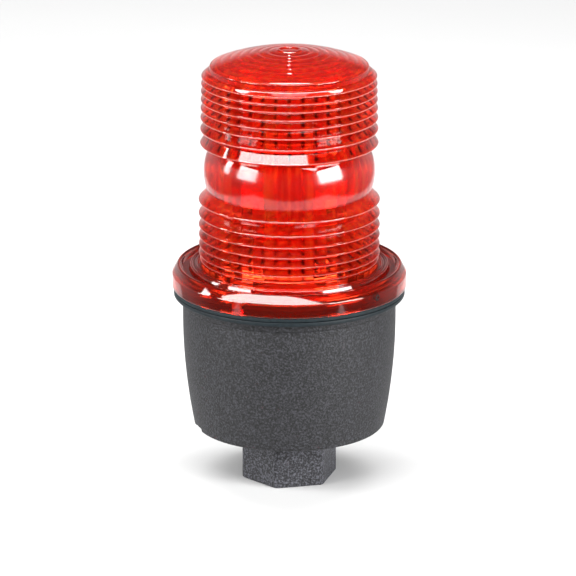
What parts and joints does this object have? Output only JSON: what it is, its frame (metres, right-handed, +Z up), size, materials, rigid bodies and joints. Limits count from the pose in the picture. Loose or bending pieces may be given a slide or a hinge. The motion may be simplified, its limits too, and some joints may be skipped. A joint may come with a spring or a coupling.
{
  "type": "pipe-mount strobe warning light",
  "caption": "Small red strobe warning light with a ribbed twist-off lens, a plug-in flash tube and a black cup housing on a hexagonal pipe hub.",
  "frame": {"origin": "centre of the hub's flat foot, on the light's axis", "axes": "+Z up along the light's axis, from the hub to the lens; -Y is the front"},
  "size_m": [0.0786, 0.0786, 0.1489],
  "materials": {
    "housing_plastic": "pebbled matt",
    "lens_red": "clear moulded polycarbonate",
    "gasket_rubber": "smooth matt",
    "tube_glass": "clear",
    "board_laminate": "white solder mask",
    "steel_parts": "zinc plated",
    "brass_parts": "bright",
    "socket_ceramic": "fired ceramic",
    "resistor_body": "fired ceramic",
    "capacitor_sleeve": "shrink sleeve",
    "film_yellow": "dipped",
    "varistor_blue": "dipped",
    "terminal_green": "moulded",
    "epoxy": "moulded"
  },
  "bodies": {
    "housing_body": {"housing": "housing_plastic", "circuit_board": "board_laminate", "board_screw_1": "steel_parts", "board_screw_2": "steel_parts", "board_screw_3": "steel_parts", "main_capacitor": "capacitor_sleeve", "filter_capacitor_1": "capacitor_sleeve", "filter_capacitor_2": "capacitor_sleeve", "power_resistor": "resistor_body", "varistor": "varistor_blue", "fuse": "resistor_body", "scr_body": "epoxy", "scr_tab": "steel_parts", "terminal_block": "terminal_green", "terminal_screw_1": "brass_parts", "terminal_screw_2": "brass_parts", "terminal_screw_3": "brass_parts", "trigger_transformer": "film_yellow", "trigger_capacitor": "film_yellow", "bleeder_resistor": "resistor_body", "rectifier_diode_1": "epoxy", "rectifier_diode_2": "epoxy", "rectifier_diode_3": "epoxy", "rectifier_diode_4": "epoxy", "tube_socket": "socket_ceramic"},
    "gasket_body": {"lens_gasket": "gasket_rubber"},
    "lens_body": {"lens": "lens_red"},
    "lock_screw_body": {"lock_screw": "steel_parts"},
    "tube_body": {"tube_base": "socket_ceramic", "tube_pin_1": "brass_parts", "tube_pin_2": "brass_parts", "tube_pin_3": "brass_parts", "tube_pin_4": "brass_parts", "cathode": "steel_parts", "anode": "steel_parts", "xenon_tube": "tube_glass", "trigger_wire": "steel_parts", "tube_envelope": "tube_glass"}
  },
  "joints": [
    {"name": "lens_turn", "type": "hinge", "parent": "housing_body", "child": "gasket_body", "pos_m": [0, 0, 0.0667], "axis": [0, 0, 1], "range_deg": [-28, 0]},
    {"name": "lens_lift", "type": "slide", "parent": "gasket_body", "child": "lens_body", "axis": [0, 0, 1], "range_m": [0, 0.06]},
    {"name": "lock_screw_turn", "type": "hinge", "parent": "lens_body", "child": "lock_screw_body", "pos_m": [0.02839, -0.02556, 0.0708], "axis": [0.7431, -0.6691, 0], "range_deg": [-360, 0]},
    {"name": "tube_plug", "type": "slide", "parent": "housing_body", "child": "tube_body", "axis": [0, 0, 1], "range_m": [0, 0.01]}
  ]
}
